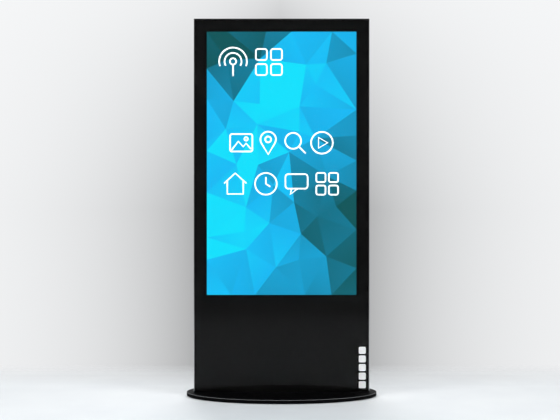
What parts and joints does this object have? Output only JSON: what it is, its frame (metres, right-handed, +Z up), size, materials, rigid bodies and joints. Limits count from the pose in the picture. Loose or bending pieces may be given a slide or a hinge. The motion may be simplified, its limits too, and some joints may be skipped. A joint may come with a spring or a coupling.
{
  "type": "touchscreen kiosk",
  "caption": "Slim free-standing touchscreen kiosk: full-height black glass front with a lit portrait display, aluminium edge frame, oval steel base, rear service door.",
  "frame": {"origin": "on the floor under the middle of the oval base", "axes": "+Z up, the screen faces -Y, +X to the right of a person looking at the screen"},
  "size_m": [0.929, 0.466, 1.841],
  "materials": {
    "base_paint": "black satin powder coat",
    "cover_paint": "black fine-texture powder coat",
    "edge_aluminium": "satin anodised",
    "chassis_steel": "zinc plated",
    "fastener_steel": "black oxide",
    "hinge_steel": "satin",
    "lock_chrome": "polished",
    "clear_glass": "polished tempered",
    "black_print": "opaque black print",
    "tape_black": "acrylic foam tape",
    "touch_film": "clear film",
    "lcd_glass": "lit display cell",
    "white_sheet": "opal",
    "tray_steel": "electro-galvanised",
    "circuit_green": "circuit board",
    "rubber_black": "moulded",
    "plastic_black": "moulded, fine texture",
    "case_aluminium": "black anodised",
    "cage_steel": "perforated galvanised",
    "cone_paper": "coated paper",
    "filter_foam": "open-cell foam",
    "brass": "nickel-free contact brass",
    "cable_black": "PVC sheath",
    "button_silver": "satin"
  },
  "bodies": {
    "tower": {"backlight_tray": "tray_steel", "base_pads": "rubber_black", "base_plate": "base_paint", "chassis_bolts": "fastener_steel", "corner_keys": "chassis_steel", "cover_screws": "fastener_steel", "cross_rail_lower": "chassis_steel", "cross_rail_middle": "chassis_steel", "cross_rail_upper": "chassis_steel", "diffuser_sheets": "white_sheet", "display_board": "circuit_green", "display_lead": "cable_black", "equipment_plate": "chassis_steel", "fan_frame_left": "plastic_black", "fan_frame_right": "plastic_black", "fan_lead": "cable_black", "foot_bolts": "fastener_steel", "frame_side_left": "edge_aluminium", "frame_side_right": "edge_aluminium", "frame_sill": "base_paint", "frame_top": "edge_aluminium", "front_glass": "clear_glass", "glass_mask": "black_print", "glass_tape": "tape_black", "hinge_leaves": "hinge_steel", "hinge_pins": "hinge_steel", "hinge_rivets": "hinge_steel", "inlet_blades": "brass", "lcd_bezel": "fastener_steel", "lcd_cell": "lcd_glass", "led_bars": "white_sheet", "lock_keeper": "chassis_steel", "lower_cover": "cover_paint", "mains_lead": "cable_black", "media_player": "case_aluminium", "network_jack": "plastic_black", "power_inlet": "plastic_black", "psu_case": "cage_steel", "rear_cover": "cover_paint", "speaker_boxes": "plastic_black", "speaker_drivers": "cone_paper", "switch_body": "plastic_black", "touch_controller": "circuit_green", "touch_foil": "touch_film", "touch_lead": "cable_black", "upright_left": "chassis_steel", "upright_right": "chassis_steel"},
    "door": {"service_door": "cover_paint", "door_filters": "filter_foam", "door_leaves": "hinge_steel", "door_rivets": "hinge_steel", "lock_housing": "lock_chrome", "lock_nut": "hinge_steel"},
    "lock": {"lock_plug": "lock_chrome", "lock_cam": "hinge_steel"},
    "drawer": {"fuse_drawer": "plastic_black"},
    "rocker_key": {"rocker": "plastic_black"},
    "fan_left": {"fan_rotor_left": "plastic_black"},
    "fan_right": {"fan_rotor_right": "plastic_black"},
    "power_button": {"player_button": "button_silver"}
  },
  "joints": [
    {"name": "door_hinge", "type": "hinge", "parent": "tower", "child": "door", "pos_m": [-0.212, 0.0335, 0.26], "axis": [0, 0, 1], "range_deg": [0, 110]},
    {"name": "lock_turn", "type": "hinge", "parent": "door", "child": "lock", "pos_m": [0.185, 0.025, 0.26], "axis": [0, -1, 0], "range_deg": [0, 90]},
    {"name": "fuse_drawer_slide", "type": "slide", "parent": "tower", "child": "drawer", "axis": [0, 1, 0], "range_m": [0, 0.013]},
    {"name": "rocker_tilt", "type": "hinge", "parent": "tower", "child": "rocker_key", "pos_m": [-0.262, 0.0255, 0.11], "axis": [1, 0, 0], "range_deg": [-20, 0]},
    {"name": "fan_left_spin", "type": "hinge", "parent": "tower", "child": "fan_left", "pos_m": [-0.15, 0.021, 1.64], "axis": [0, 1, 0], "continuous": true},
    {"name": "fan_right_spin", "type": "hinge", "parent": "tower", "child": "fan_right", "pos_m": [0.15, 0.021, 1.64], "axis": [0, 1, 0], "continuous": true},
    {"name": "power_button_press", "type": "slide", "parent": "tower", "child": "power_button", "axis": [-1, 0, 0], "range_m": [0, 0.0015], "stiffness_N_per_m": 600, "springref_m": -0.0005}
  ]
}
